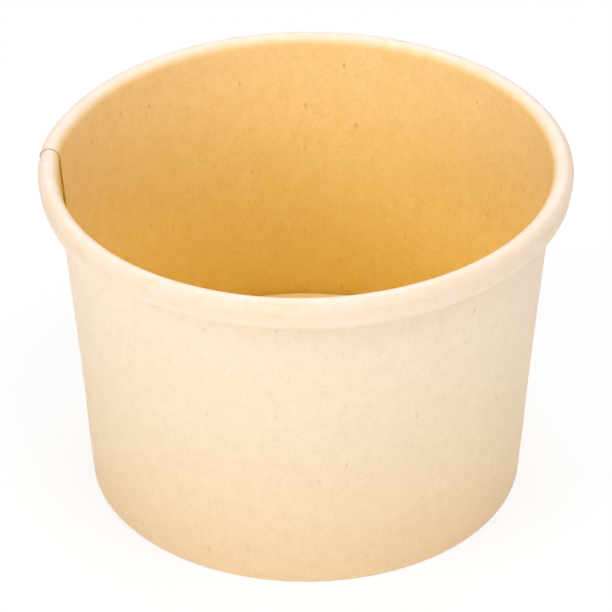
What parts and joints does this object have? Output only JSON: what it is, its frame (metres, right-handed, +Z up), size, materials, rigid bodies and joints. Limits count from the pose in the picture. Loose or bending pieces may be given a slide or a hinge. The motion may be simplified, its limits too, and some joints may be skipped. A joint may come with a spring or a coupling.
{
  "type": "paperboard soup tub",
  "caption": "Round tapered soup tub of unbleached bamboo paperboard with a rolled rim, a lap seam and a recessed base.",
  "frame": {"origin": "centre of the foot ring, on the table", "axes": "+Z up along the tub's axis; -Y towards the viewer, with the lap seam on the left, near -X"},
  "size_m": [0.0904, 0.0904, 0.061],
  "materials": {
    "wall_board": "matte",
    "base_board": "matte"
  },
  "bodies": {
    "root": {"side_wall": "wall_board", "base_disc": "base_board"}
  },
  "joints": []
}
